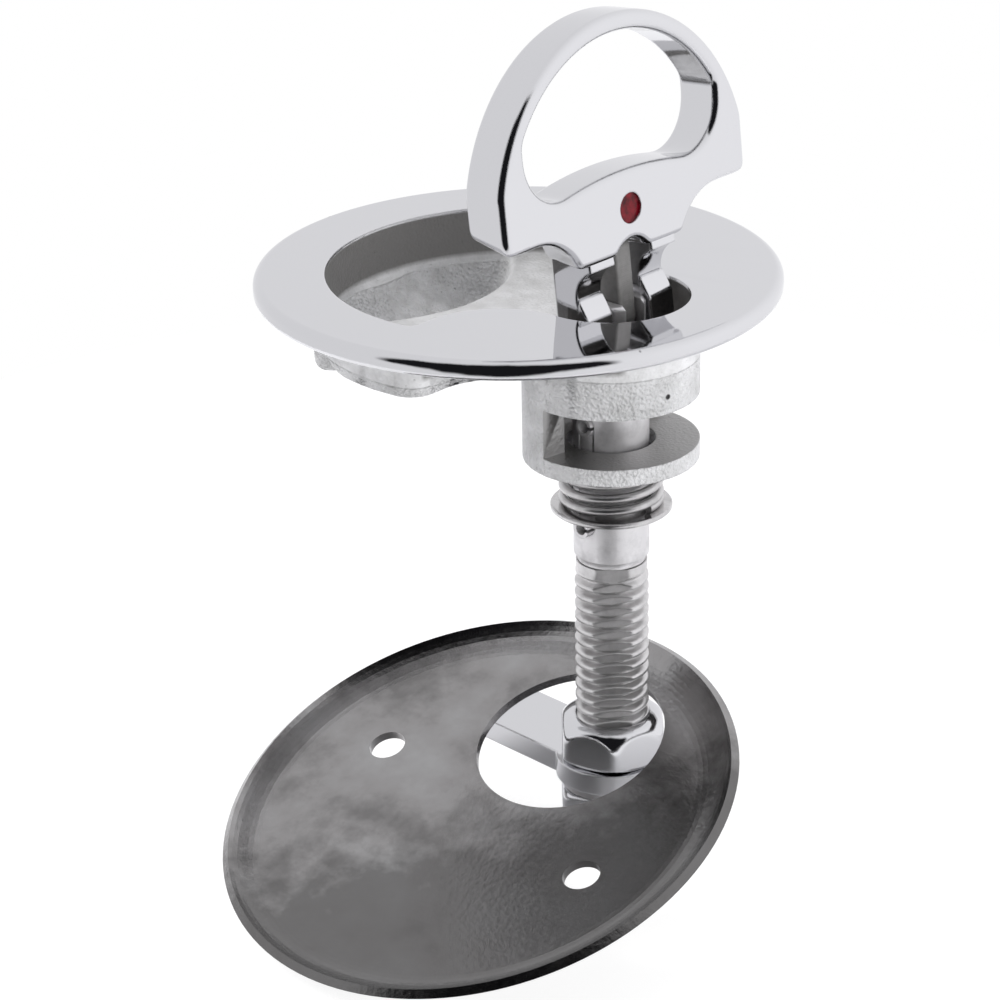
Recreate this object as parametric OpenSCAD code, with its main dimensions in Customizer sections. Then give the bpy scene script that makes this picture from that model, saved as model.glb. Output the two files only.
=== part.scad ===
// Round flush latch with a fold-down ring handle, shown with the handle raised.
// Millimetres. The origin is on the spindle's axis, at the underside of the flange
// that lies on the hatch. +Z is up, and the finger bowl lies towards -X.

/* [Flange] */
// Diameter of the flange
flange_d = 76.2; // [74:0.1:84]
// Thickness of the flange
flange_t = 2.8; // [2.4:0.1:4]
// Distance from the flange's centre to the spindle's axis
hub_offset = 17.5; // [17:0.1:18.5]
// Radius of the recess that takes the folded ring
recess_r = 27.8; // [27.4:0.1:29]
// Radius that rounds the recess's two corners
recess_corner_r = 1.5; // [0.8:0.1:2.5]
// Distance from the spindle's axis back to the recess's shoulder
shoulder_back = 12.4; // [12:0.1:12.8]
// Radius of the fillet on each side, between that shoulder and the hub's pocket
throat_r = 12; // [11.8:0.1:12.2]
// Depth of the finger bowl below the flange's face, at its lowest line
bowl_depth = 15.3; // [13:0.1:17]
// Depth at which the bowl's upright far wall meets its floor
bowl_wall_depth = 9; // [8:0.1:11]
// Radius of the curved crest, where the bowl rises to the shelf
crest_r = 24.8; // [22:0.1:25.5]
// Distance from the flange's centre back to that curve's own centre
crest_back = 34; // [33:0.1:36]
// Thickness of the cast wall
wall = 2.2; // [1.6:0.1:3]

/* [Hub] */
// Outer diameter of the hub
hub_d = 25.4; // [25:0.1:28]
// Radius of the hub's pocket, where the handle's feet turn
pocket_r = 11.4; // [11.2:0.1:11.8]
// Thickness of the floor that guides the spindle
floor_t = 6.6; // [4:0.1:8]
// Height of the side window under the floor
window_h = 7.4; // [6:0.1:10]
// Half of the angle that the window opens, from +X
window_half_angle = 98; // [92:1:110]
// Radius of the cavity inside the window
cavity_r = 8.7; // [8:0.1:9.5]
// Thickness of the hub's bottom ring
ring_t = 2.5; // [2:0.1:4]
// Radius of the clearance hole in the bottom ring
ring_hole_r = 6.4; // [6.3:0.1:7]

/* [Spindle] */
// Diameter of the spindle where it runs in the hub
spindle_d = 11; // [10.9:0.1:11.4]
// Running clearance round the spindle, on the radius
run_clear = 0.06; // [0.02:0.01:0.1]
// Height of the spindle's head above the pivot
head_up = 2.6; // [2.4:0.1:3]
// Radius of the spindle's head
head_r = 5; // [4.6:0.1:5.2]
// Width of the spindle's head across its two flats
head_w = 7; // [6.6:0.1:7.2]
// Width of the slot in the head
slot_w = 3.9; // [3.8:0.1:4.1]
// Length of the plain part below the bottom ring
plain_l = 15.2; // [14.4:0.1:20]
// Height of the undercut neck above the thread
neck_h = 1.2; // [0.8:0.1:2]
// Outer diameter of the threaded stud
stud_d = 10.8; // [10.4:0.1:10.8]
// Distance across the stud's two flats
stud_flats = 8.4; // [8:0.1:9.4]
// Angle of the flats, from +X
stud_flat_angle = -47; // [-60:1:-30]
// Length of the threaded stud
stud_l = 44.2; // [43:0.1:60]
// Diameter of the two rolled cross pins
cross_pin_d = 2.8; // [2.4:0.1:3]
// Thickness of the cross pins' rolled sheet
cross_pin_wall = 0.55; // [0.4:0.05:0.7]
// Length of the upper cross pin
cross_pin_l = 12; // [11.6:0.1:12.2]
// Length of the lower cross pin, which holds the washer
washer_pin_l = 13.4; // [12.8:0.1:14]

/* [Handle] */
// Angle that the raised handle leans back
lean = 6; // [4:0.5:8]
// Distance from the pivot to the handle's front face
face_ahead = 5.5; // [5.4:0.1:5.7]
// Thickness of the handle at its feet
handle_t = 7.4; // [7.3:0.1:7.6]
// Amount by which the ring's back stands clear of the feet's back
ring_relief = 0.25; // [0.2:0.05:0.4]
// Rise of the spindle as the handle is raised
lift = 2.7; // [2.2:0.1:3]
// Gap between the handle's feet and the floor that they stand on
foot_clear = 0.15; // [0.1:0.05:0.2]
// Radius of the ring's outside
ring_r = 26.2; // [25.8:0.1:26.4]
// Height of the ring's centre above the pivot
ring_up = 17; // [16.8:0.1:17.3]
// Half width of the ring over its two straight sides
ring_x = 25.4; // [25:0.1:25.5]
// Height of the ring's lower corners above the pivot
corner_up = 14.8; // [14.6:0.1:15.2]
// Slope of the ring's underside, from front to back
under_slope = 17; // [5:1:20]
// Radius of the finger hole's upper edge
hole_r = 23.6; // [23.2:0.1:23.8]
// Height of that edge's centre above the pivot
hole_up = 16.9; // [16.7:0.1:17.1]
// Half width of the finger hole
hole_x = 20; // [19.6:0.1:20.4]
// Radius of the finger hole's lower corners
hole_low_r = 7; // [6.6:0.1:7.2]
// Height of the hump in the finger hole's lower edge above the pivot
hump_up = 21.5; // [21.2:0.1:22]
// Radius of that hump
hump_r = 62; // [50:1:80]
// Distance from the middle out to the centre of each curve under the ring
flank_x = 19; // [18.6:0.1:19.4]
// Radius of those curves, which run down to the neck
flank_r = 8.9; // [8.4:0.1:9.2]
// Half width of the two feet
foot_x = 9.1; // [8.9:0.1:9.3]
// Height of the neck's lower front edge above the pivot
neck_up = 9.5; // [9.3:0.1:9.8]
// Half width of the gap between the two feet
foot_gap = 3.9; // [3.8:0.1:4.2]
// Height of the notch between the feet above the pivot
notch_up = 11.4; // [11:0.1:12]
// Thickness of the tongue that sits in the head's slot
tongue_t = 3.3; // [3:0.1:3.4]
// Radius of the tongue's end round the pivot
tongue_r = 3.4; // [3.2:0.1:3.6]
// Distance from the pivot forward to the tip of each foot's toe
toe_ahead = 4.1; // [3.8:0.1:4.3]
// Diameter of the pivot pin
pivot_d = 3; // [2.6:0.1:3.2]
// Diameter of the red indicator dot
dot_d = 4.4; // [3.6:0.1:4.8]
// Height of the dot above the pivot
dot_up = 15.9; // [15.4:0.1:16.4]
// Depth of the dot's recess
dot_depth = 1.2; // [0.8:0.1:1.6]
// Thickness of the enamel in the recess
dot_t = 0.8; // [0.4:0.1:1]

/* [Spring] */
// Diameter of the spring wire
wire_d = 1.35; // [1.1:0.05:1.45]
// Outer diameter of the spring
spring_d = 15.2; // [14.8:0.1:15.8]
// Length of the spring with the handle raised
spring_l = 7.5; // [7.2:0.1:9]
// Turns of the spring
turns = 3.25; // [3:0.25:3.5]
// Diameter of the washer under the spring
washer_d = 17.6; // [16.8:0.1:19]
// Thickness of that washer
washer_t = 0.8; // [0.6:0.1:1.2]

/* [Arm and nuts] */
// Height of the arm's upper face above the stud's end
arm_rise = 12.55; // [11.6:0.05:14]
// Thickness of the arm
arm_t = 3.2; // [2.8:0.1:3.6]
// Width of the arm
arm_w = 12; // [11.6:0.1:14]
// Amount by which the arm's round end at the stud is wider, on each side
arm_head = 2.4; // [1.6:0.1:3]
// Reach of the arm from the stud's axis
arm_l = 40; // [30:1:60]
// Angle of the arm, from +X
arm_angle = 176; // [160:1:190]
// Width of the nuts across their flats
nut_af = 15; // [14.6:0.1:17]
// Height of the upper nut
upper_nut_h = 6.6; // [6:0.1:7]
// Height of the lower nut
lower_nut_h = 5; // [4:0.1:5.6]
// Thickness of the spring lock washer
lock_t = 1.4; // [1:0.1:1.8]
// Diameter of the spring lock washer
lock_d = 15; // [14:0.1:16]
// Play of the stud in what is on it, on the radius
stud_play = 0.05; // [0.03:0.01:0.1]

/* [Backing plate] */
// Diameter of the backing plate
plate_d = 77; // [76:0.1:84]
// Thickness of its sheet
plate_t = 1.3; // [1:0.1:1.6]
// Height of its turned-up rim above the floor
plate_lip = 2.6; // [2:0.1:3.6]
// Radius of the bend between its floor and its rim
plate_bend_r = 7; // [5:0.1:8]
// Radius of its hole for the hub
plate_hole_r = 14.2; // [14:0.1:14.6]
// Radius of its two screw holes
screw_hole_r = 2.75; // [2:0.05:3]
// Distance between the two screw holes
screw_pitch = 45.4; // [44:0.1:50]
// Lean of the loose plate
plate_lean = 19.7; // [15:0.1:22]
// Turn of the loose plate about its own axis
plate_turn = 80.4; // [75:0.1:86]
// Height of the plate's floor, where it meets the stud, above the upper nut
plate_gap = 0.8; // [0.7:0.1:2.7]

/* [Hidden] */
$fn = 64;

chrome = [0.80, 0.80, 0.82];
cast = [0.72, 0.72, 0.73];
steel = [0.62, 0.62, 0.64];
dark = [0.36, 0.36, 0.37];
red = [0.62, 0.04, 0.07];

// How far a cut runs past the face it opens
past = 1;
big = 60;
seat = 0.02;

// Heights of the escutcheon. The folded handle lies flush with the flange's face.
face_z = flange_t;
stowed_z = face_z - face_ahead;
back = handle_t - face_ahead;
bowl_z = face_z - bowl_depth;
floor_z = stowed_z - back - foot_clear;
shelf_z = floor_z;
window_top = floor_z - floor_t;
ring_top = window_top - window_h;
hub_z = ring_top - ring_t;
hub_r = hub_d / 2;

// Shape of the bowl: the width of its steep rise to the crest, the draft of its far
// wall, and how far in from that wall its floor begins
rise_width = 4.8;
wall_draft = 0.9;
floor_inset = 1;

// The raised handle's feet stand on the floor
pivot_z = stowed_z + lift;
foot_down = back + lift;
fold_angle = 90 - lean;
// Rise of the hump over the finger hole's two lower corners
hump_rise = 1.3;
// Undercut in front of the feet: how far its centre lies ahead of the front face and
// below the neck, and its radius
undercut_ahead = 1.2;
undercut_down = 4.9;
undercut_r = 4.4;
// Rise for each radian of fold, which sets the feet's working curve
cam_k = lift / (fold_angle * PI / 180);

// Heights along the spindle, with the handle raised
spindle_r = spindle_d / 2;
head_z = pivot_z + head_up;
head_sink = 0.2;
head_low = floor_z - head_sink;
slot_clear = 0.3;
slot_z = pivot_z - tongue_r - slot_clear;
washer_top = hub_z - spring_l;
washer_z = washer_top - washer_t;
pin_gap = 0.1;
washer_pin_z = washer_z - pin_gap - cross_pin_d / 2;
pin_drop = 2.8;
cross_pin_z = window_top - pin_drop - cross_pin_d / 2;
neck_top = hub_z - plain_l;
stud_top = neck_top - neck_h;
stud_end = stud_top - stud_l;
stud_r = stud_d / 2;
thread_relief = 0.45;
neck_round_r = stud_r - thread_relief;
stud_hole_r = stud_r + stud_play;

arm_top = stud_end + arm_rise;
arm_z = arm_top - arm_t;
lock_z = arm_z - lock_t;
nut_corner_r = nut_af / 2 / cos(30);

// Solid of revolution about Z from its half profile
module turned(points, fn = 96) {
    rotate_extrude($fn = fn)
        polygon(points);
}

// Points of an arc, from angle a0 to a1
function arc(c, r, a0, a1, n = 8) =
    [for (i = [0 : n]) c + r * [cos(a0 + (a1 - a0) * i / n), sin(a0 + (a1 - a0) * i / n)]];

// Points of an S-curve from one point to another, level at both ends
function s_curve(p, q, n = 8) =
    [for (i = [0 : n]) [p[0] + (q[0] - p[0]) * i / n,
                        p[1] + (q[1] - p[1]) * (1 - cos(180 * i / n)) / 2]];

// Space of the recess between two heights, and its outside when it is grown by the wall.
// The wide arc is round the flange's centre. Behind it a straight shoulder runs into
// two fillets, which touch the circle of the hub's pocket.
module recess_space(z0, z1, grow = 0) {
    fillet_x = throat_r - shoulder_back;
    fillet_y = sqrt(pow(pocket_r + throat_r, 2) - pow(fillet_x, 2));
    corner_x = -shoulder_back - recess_corner_r;
    corner_y = sqrt(pow(recess_r - recess_corner_r, 2) - pow(corner_x + hub_offset, 2));
    // The wide arc runs on a little past the corners' centres, where it meets them
    corner_lap = 0.2;
    h = z1 - z0;
    translate([0, 0, z0]) {
        intersection() {
            translate([-hub_offset, 0, 0])
                cylinder(r = recess_r + grow, h = h, $fn = 160);
            translate([-big - hub_offset, -big, 0])
                cube([big + hub_offset + corner_x + corner_lap, 2 * big, h]);
        }
        for (s = [-1, 1])
            translate([corner_x, s * corner_y, 0])
                cylinder(r = recess_corner_r + grow, h = h);
        translate([corner_x, -corner_y, 0])
            cube([recess_corner_r + grow, 2 * corner_y, h]);
        difference() {
            translate([corner_x, -fillet_y, 0])
                cube([fillet_x - corner_x, 2 * fillet_y, h]);
            for (s = [-1, 1])
                translate([fillet_x, s * fillet_y, -past])
                    cylinder(r = throat_r - grow, h = h + 2 * past, $fn = 96);
        }
        cylinder(r = min(pocket_r + grow, hub_r), h = h, $fn = 96);
    }
}

// Space of the finger bowl below the shelf. Its floor falls from the far wall towards
// the hub, then a steep curve rises to the crest. Grown by the wall it is the outside.
module bowl_space(grow = 0, top = 0) {
    r = recess_r + grow;
    low = bowl_z - grow;
    foot_z = face_z - bowl_wall_depth - grow;
    crest_z = shelf_z - grow;
    centre_x = -hub_offset - crest_back;
    // Distances from the crest's centre to the wall's foot and to the lowest line
    foot_at = crest_back - recess_r + floor_inset;
    low_at = crest_r - rise_width + grow / 2;
    n = 8;
    floor_points = [for (i = [n : -1 : 0])
                        [foot_at + (low_at - foot_at) * i / n,
                         foot_z + (low - foot_z) * sin(90 * i / n)]];
    intersection() {
        translate([-hub_offset, 0, 0])
            turned([[0, top], [r, top], [r, crest_z], [r - wall_draft, low - past],
                    [0, low - past]], 160);
        translate([centre_x, 0, 0])
            turned(concat([[0, top], [crest_r + grow + past, top],
                           [crest_r + grow + past, crest_z]],
                          s_curve([crest_r + grow, crest_z - seat], floor_points[0]),
                          [for (i = [1 : n]) floor_points[i]],
                          [[0, foot_z]]), 128);
    }
}

// Cast body: flange, recess, finger bowl and hub in one piece
module escutcheon() {
    rim = 1.25;
    low_rim = 0.9;
    r = flange_d / 2;
    color(chrome)
        difference() {
            union() {
                translate([-hub_offset, 0, 0])
                    turned(concat([[0, 0], [r - low_rim, 0]],
                                  arc([r - low_rim, low_rim], low_rim, -80, 0, 4),
                                  arc([r - rim, face_z - rim], rim, 0, 90, 8),
                                  [[0, face_z]]), 160);
                recess_space(shelf_z - wall, seat, wall);
                bowl_space(wall, seat);
                translate([0, 0, hub_z])
                    cylinder(r = hub_r, h = -hub_z + seat, $fn = 96);
            }
            recess_space(shelf_z, face_z + past);
            bowl_space(0, shelf_z + seat);
            translate([0, 0, floor_z])
                cylinder(r = pocket_r, h = face_z - floor_z + past, $fn = 96);
            translate([0, 0, window_top - past])
                cylinder(r = spindle_r + run_clear, h = floor_t + 2 * past, $fn = 96);
            translate([0, 0, ring_top])
                cylinder(r = cavity_r, h = window_h, $fn = 96);
            hub_window();
            translate([0, 0, hub_z - past])
                cylinder(r = ring_hole_r, h = ring_t + 2 * past, $fn = 96);
        }
}

// Opening through the hub's wall, for driving in the upper cross pin
module hub_window() {
    reach = 2 * hub_r;
    c = reach * cos(window_half_angle);
    s = reach * sin(window_half_angle);
    translate([0, 0, ring_top])
        linear_extrude(height = window_h)
            polygon([[0, 0], [c, -s], [reach, -reach], [reach, reach], [c, s]]);
}

// Places what is drawn with the pivot at its origin and the handle upright
module at_handle() {
    translate([0, 0, pivot_z])
        rotate([0, -lean, 0])
            children();
}

// Cuts a flat outline, drawn with Y across and Z up, between two planes of X
module slab(x0, x1) {
    translate([x0, 0, 0])
        rotate([90, 0, 90])
            linear_extrude(height = x1 - x0)
                children();
}

// Cuts a side outline, drawn with X ahead and Z up, to a width about Y
module across(y0, y1) {
    translate([0, y1, 0])
        rotate([90, 0, 0])
            linear_extrude(height = y1 - y0)
                children();
}

// Outside of the ring seen from the front, down to its lower corners
module ring_outline() {
    low = corner_up - 1;
    intersection() {
        translate([0, ring_up])
            circle(r = ring_r, $fn = 160);
        translate([-ring_x, low])
            square([2 * ring_x, ring_r + ring_up]);
    }
    translate([-ring_x, low])
        square([2 * ring_x, ring_up - low]);
}

// Neck seen from the front, with the round notch between the feet
module neck_outline() {
    difference() {
        translate([-flank_x, neck_up])
            square([2 * flank_x, ring_up - neck_up]);
        translate([0, notch_up - foot_gap])
            circle(r = foot_gap);
        translate([-foot_gap, 0])
            square([2 * foot_gap, notch_up - foot_gap]);
    }
}

// Finger hole seen from the front
module hole_outline() {
    corner_x = hole_x - hole_low_r;
    corner_z = hump_up - hump_rise + hole_low_r;
    difference() {
        intersection() {
            translate([0, hole_up])
                circle(r = hole_r, $fn = 160);
            union() {
                translate([-hole_x, corner_z])
                    square([2 * hole_x, hole_r]);
                translate([-corner_x, corner_z - hole_low_r])
                    square([2 * corner_x, hole_r]);
                for (s = [-1, 1])
                    translate([s * corner_x, corner_z])
                        circle(r = hole_low_r);
            }
        }
        translate([0, hump_up - hump_r])
            circle(r = hump_r, $fn = 256);
    }
}

// Side outline of a foot. Its working edge has a straight sole for the raised handle
// and, behind it, the curve whose height over the floor falls evenly with the fold.
function cam_point(a) =
    let (d = foot_down - cam_k * (a - lean) * PI / 180)
    [-d * sin(a) + cam_k * cos(a), -d * cos(a) - cam_k * sin(a)];

module foot_outline() {
    working = [for (a = [90 : -6 : lean]) cam_point(a)];
    heel = cam_point(lean);
    sole = toe_ahead - heel[0];
    toe = heel + sole * [1, -tan(lean)];
    n = 7;
    undercut = arc([face_ahead + undercut_ahead, neck_up - undercut_down], undercut_r,
                   108, 190, n);
    polygon(concat([[-back, neck_up + 3]], working,
                   [toe + [-0.9, 0.1], toe + [0, 1], [toe_ahead, 1.6], [2.5, 4.6]],
                   [for (i = [n : -1 : 0]) undercut[i]],
                   [[face_ahead, neck_up + 1], [face_ahead, neck_up + 3]]));
}

// Ring, neck, tongue and two feet, cast in one piece
module ring_handle() {
    color(chrome)
        at_handle()
            difference() {
                union() {
                    difference() {
                        union() {
                            slab(ring_relief - back, face_ahead)
                                ring_outline();
                            slab(ring_relief - back, face_ahead)
                                neck_outline();
                        }
                        underside();
                    }
                    feet();
                    tongue();
                }
                slab(-back - past, face_ahead + past)
                    hole_outline();
                translate([face_ahead - dot_depth, 0, dot_up])
                    rotate([0, 90, 0])
                        cylinder(d = dot_d, h = dot_depth + past);
                across(-tongue_t, tongue_t)
                    circle(d = pivot_d + 2 * run_clear, $fn = 48);
            }
}

// Cuts the ring's underside, which slopes up towards its back and curves to the neck
module underside() {
    for (s = [-1, 1])
        translate([face_ahead, s * flank_x, corner_up])
            rotate([0, under_slope - 90, 0])
                translate([-flank_r, 0, -2 * past]) {
                    cylinder(r = flank_r, h = handle_t + 4 * past, $fn = 96);
                    translate([-flank_r, min(0, s * flank_r), 0])
                        cube([2 * flank_r, flank_r, handle_t + 4 * past]);
                }
}

// The two feet
module feet() {
    for (s = [-1, 1])
        across(s < 0 ? -foot_x : foot_gap, s < 0 ? -foot_gap : foot_x)
            foot_outline();
}

// Thin tongue between the feet, with a round end in the head's slot
module tongue() {
    across(-tongue_t / 2, tongue_t / 2) {
        circle(r = tongue_r);
        translate([ring_relief - back, 0])
            square([tongue_r + back - ring_relief, notch_up + 1]);
    }
}

// Red enamel at the bottom of its recess
module indicator_dot() {
    color(red)
        at_handle()
            translate([face_ahead - dot_depth, 0, dot_up])
                rotate([0, 90, 0])
                    cylinder(d = dot_d - 2 * seat, h = dot_t);
}

// Pin through the head's two cheeks and the tongue
module pivot_pin() {
    color(steel)
        translate([0, head_w / 2, pivot_z])
            rotate([90, 0, 0])
                cylinder(d = pivot_d, h = head_w, $fn = 48);
}

// Spindle: slotted head, round shank, undercut neck and stud with two flats
module spindle() {
    chamfer = 1.2;
    bevel = 0.7;
    color(steel)
        difference() {
            union() {
                intersection() {
                    turned([[0, head_low], [head_r, head_low], [head_r, head_z - bevel],
                            [head_r - bevel, head_z], [0, head_z]]);
                    translate([-big / 2, -head_w / 2, head_low])
                        cube([big, head_w, big]);
                }
                turned([[0, neck_top], [spindle_r, neck_top], [spindle_r, head_low],
                        [0, head_low]]);
                translate([0, 0, stud_top])
                    cylinder(r = neck_round_r, h = neck_h, $fn = 96);
                stud(chamfer);
            }
            translate([-big / 2, -slot_w / 2, slot_z])
                cube([big, slot_w, big]);
            pivot_hole();
            for (z = [cross_pin_z, washer_pin_z])
                translate([0, big / 2, z])
                    rotate([90, 0, 0])
                        cylinder(d = cross_pin_d + 2 * seat, h = big, $fn = 48);
        }
}

module pivot_hole() {
    translate([0, head_w, pivot_z])
        rotate([90, 0, 0])
            cylinder(d = pivot_d + 2 * seat, h = 2 * head_w, $fn = 48);
}

// Stud at the thread's outer diameter, cut by its two flats
module stud(chamfer) {
    intersection() {
        turned([[0, stud_end], [stud_r - chamfer, stud_end],
                [stud_r, stud_end + chamfer], [stud_r, stud_top], [0, stud_top]]);
        rotate([0, 0, stud_flat_angle])
            translate([-stud_flats / 2, -big / 2, stud_end])
                cube([stud_flats, big, stud_l]);
    }
}

// Rolled spring pin along Y, with its slit
module rolled_pin(l) {
    slit = 0.5;
    color(steel)
        rotate([90, 0, 0])
            translate([0, 0, -l / 2])
                difference() {
                    cylinder(d = cross_pin_d, h = l, $fn = 48);
                    translate([0, 0, -past])
                        cylinder(d = cross_pin_d - 2 * cross_pin_wall, h = l + 2 * past,
                                 $fn = 48);
                    translate([0, -slit / 2, -past])
                        cube([cross_pin_d, slit, l + 2 * past]);
                }
}

module cross_pin() {
    translate([0, 0, cross_pin_z])
        rolled_pin(cross_pin_l);
}

module washer_pin() {
    translate([0, 0, washer_pin_z])
        rolled_pin(washer_pin_l);
}

// Compression spring swept along its helix
module spring() {
    coil_r = (spring_d - wire_d) / 2;
    base = washer_top + wire_d / 2 + seat;
    rise = spring_l - wire_d - 2 * seat;
    steps_per_turn = 20;
    sides = 8;
    n = round(turns * steps_per_turn);
    // The end turns lie flat against the ring and the washer
    dead = 0.5;
    function height(t) =
        t < dead ? 0
        : t > turns - dead ? rise
        : rise * (t - dead) / (turns - 2 * dead);
    points = [for (i = [0 : n])
                  let (t = i / steps_per_turn, a = 360 * t)
                  for (k = [0 : sides - 1])
                      let (b = 360 * k / sides, r = coil_r + wire_d / 2 * cos(b))
                      [r * cos(a), r * sin(a), base + height(t) + wire_d / 2 * sin(b)]];
    faces = concat(
        [[for (k = [0 : sides - 1]) k]],
        [[for (k = [sides - 1 : -1 : 0]) n * sides + k]],
        [for (i = [0 : n - 1])
             for (k = [0 : sides - 1])
                 let (a = i * sides + k, b = i * sides + (k + 1) % sides)
                 [a, a + sides, b + sides, b]]);
    color(steel)
        polyhedron(points = points, faces = faces, convexity = 8);
}

// Thin washer on the spindle
module spring_washer() {
    bore_r = spindle_r + run_clear;
    r = washer_d / 2;
    edge = 0.2;
    color(steel)
        turned([[bore_r, washer_z], [r - edge, washer_z], [r, washer_z + edge],
                [r, washer_top - edge], [r - edge, washer_top], [bore_r, washer_top]]);
}

// Hexagon nut with rounded ends
module nut(z, h, dome) {
    // Chamfer at the bottom of the nut, inwards and upwards
    base_in = 1.6;
    base_up = 1;
    color(chrome)
        difference() {
            intersection() {
                translate([0, 0, z])
                    rotate([0, 0, stud_flat_angle])
                        cylinder(r = nut_corner_r, h = h, $fn = 6);
                turned(concat([[0, z], [nut_corner_r - base_in, z],
                               [nut_corner_r, z + base_up]],
                              arc([nut_corner_r - dome, z + h - dome], dome, 0, 90, 6),
                              [[0, z + h]]));
            }
            translate([0, 0, z - past])
                cylinder(r = stud_hole_r, h = h + 2 * past, $fn = 96);
        }
}

module upper_nut() {
    nut(arm_top, upper_nut_h, 2.6);
}

module lower_nut() {
    nut(lock_z - lower_nut_h, lower_nut_h, 1.2);
}

// Flat arm with a round end, on the stud's two flats
module cam_arm() {
    color(chrome)
        translate([0, 0, arm_z])
            difference() {
                rotate([0, 0, arm_angle])
                    union() {
                        cylinder(r = arm_w / 2 + arm_head, h = arm_t, $fn = 96);
                        translate([0, -arm_w / 2, 0])
                            cube([arm_l - arm_w / 2, arm_w, arm_t]);
                        translate([arm_l - arm_w / 2, 0, 0])
                            cylinder(r = arm_w / 2, h = arm_t, $fn = 96);
                    }
                intersection() {
                    translate([0, 0, -past])
                        cylinder(r = stud_hole_r, h = arm_t + 2 * past, $fn = 96);
                    rotate([0, 0, stud_flat_angle])
                        translate([-stud_flats / 2 - stud_play, -big / 2, -past])
                            cube([stud_flats + 2 * stud_play, big, arm_t + 2 * past]);
                }
            }
}

// Split spring washer, with its ends a little apart
module lock_washer() {
    split = 0.8;
    color(steel)
        difference() {
            turned([[stud_hole_r, lock_z], [lock_d / 2, lock_z], [lock_d / 2, arm_z],
                    [stud_hole_r, arm_z]]);
            translate([0, -split / 2, lock_z - past])
                cube([lock_d, split, lock_t + 2 * past]);
        }
}

// Dished round plate, hanging loose on the stud by the edge of its big hole
module backing_plate() {
    bend_end = -90 + acos(1 - plate_lip / plate_bend_r);
    bend_c = [plate_d / 2 - (plate_bend_r + plate_t) * cos(bend_end), plate_bend_r];
    stud_gap = 0.35;
    // From the hole's centre to the stud, in the plate's own plane
    reach = plate_hole_r - stud_r - stud_gap;
    color(dark)
        translate([0, 0, arm_top + upper_nut_h + plate_gap])
            rotate([plate_lean, 0, 0])
                rotate([0, 0, plate_turn])
                    translate([-hub_offset - reach, 0, 0])
                        difference() {
                            turned(concat([[0, -plate_t]],
                                          arc(bend_c, plate_bend_r + plate_t, -90,
                                              bend_end),
                                          arc(bend_c, plate_bend_r, bend_end, -90),
                                          [[0, 0]]), 128);
                            translate([hub_offset, 0, -plate_t - past])
                                cylinder(r = plate_hole_r, h = plate_t + 2 * past,
                                         $fn = 96);
                            for (s = [-1, 1])
                                translate([0, s * screw_pitch / 2, -plate_t - past])
                                    cylinder(r = screw_hole_r, h = plate_t + 2 * past);
                        }
}

escutcheon();
ring_handle();
indicator_dot();
pivot_pin();
spindle();
cross_pin();
washer_pin();
spring();
spring_washer();
upper_nut();
cam_arm();
lock_washer();
lower_nut();
backing_plate();
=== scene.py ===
"""Looks of the flush latch with its ring handle raised: rounded polished handle, cut thread,
wound spring and the steel finishes, lit as in a white tent."""

import math

import bmesh
import bpy
import numpy as np
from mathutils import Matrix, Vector


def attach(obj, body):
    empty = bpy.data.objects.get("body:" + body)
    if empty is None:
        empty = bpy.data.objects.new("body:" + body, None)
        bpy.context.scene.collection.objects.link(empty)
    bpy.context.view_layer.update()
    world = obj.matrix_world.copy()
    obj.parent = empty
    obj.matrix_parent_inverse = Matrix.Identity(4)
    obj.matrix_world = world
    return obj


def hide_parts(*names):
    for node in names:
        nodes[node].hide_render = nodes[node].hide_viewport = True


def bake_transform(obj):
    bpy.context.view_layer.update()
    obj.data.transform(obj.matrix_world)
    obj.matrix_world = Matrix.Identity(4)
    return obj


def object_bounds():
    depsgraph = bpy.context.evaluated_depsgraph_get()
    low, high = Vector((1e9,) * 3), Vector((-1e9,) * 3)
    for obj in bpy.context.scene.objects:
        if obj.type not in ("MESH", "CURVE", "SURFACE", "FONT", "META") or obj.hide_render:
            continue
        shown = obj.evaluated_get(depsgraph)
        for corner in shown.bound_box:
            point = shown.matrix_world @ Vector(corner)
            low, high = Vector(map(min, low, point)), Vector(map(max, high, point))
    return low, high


MM = 0.001

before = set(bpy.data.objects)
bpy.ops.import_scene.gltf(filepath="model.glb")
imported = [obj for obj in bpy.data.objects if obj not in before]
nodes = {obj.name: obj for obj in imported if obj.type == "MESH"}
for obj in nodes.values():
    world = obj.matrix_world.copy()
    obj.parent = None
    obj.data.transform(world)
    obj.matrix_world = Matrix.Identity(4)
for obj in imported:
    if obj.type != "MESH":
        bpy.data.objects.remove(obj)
cad_box = [list(corner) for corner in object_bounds()]

# ---------------------------------------------------------------- sizes, in millimetres
FLANGE_CENTRE_X = -17.5
RECESS_R = 27.8

LEAN = math.radians(6)
FRONT = 5.5
RING_BACK = -1.65
FEET_BACK = -1.9

RING_R, RING_UP, RING_X, CORNER_UP = 26.2, 17.0, 25.4, 14.8
HOLE_R, HOLE_UP, HOLE_X, HOLE_LOW_R = 23.6, 16.9, 20.0, 7.0
HUMP_UP, HUMP_R = 21.5, 62.0
FLANK_X, FLANK_R, NECK_UP = 19.0, 8.9, 9.5
NOTCH_UP, NOTCH_R = 11.4, 3.9
UNDER_SLOPE = math.tan(math.radians(17))
FOOT_X = 9.1
TONGUE_R, TONGUE_T = 3.4, 3.3
DOT_R, DOT_UP, DOT_DEPTH = 2.2, 15.9, 1.2

STUD_R, STUD_TOP, STUD_END = 5.4, -37.65, -81.85
STUD_HALF_FLATS, FLAT_ANGLE = 4.2, math.radians(-47)
SHALLOW_FLATS, SHALLOW_ABOVE = 4.6, -64.5
THREAD_PITCH, THREAD_DEPTH = 1.84, 1.25

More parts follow.
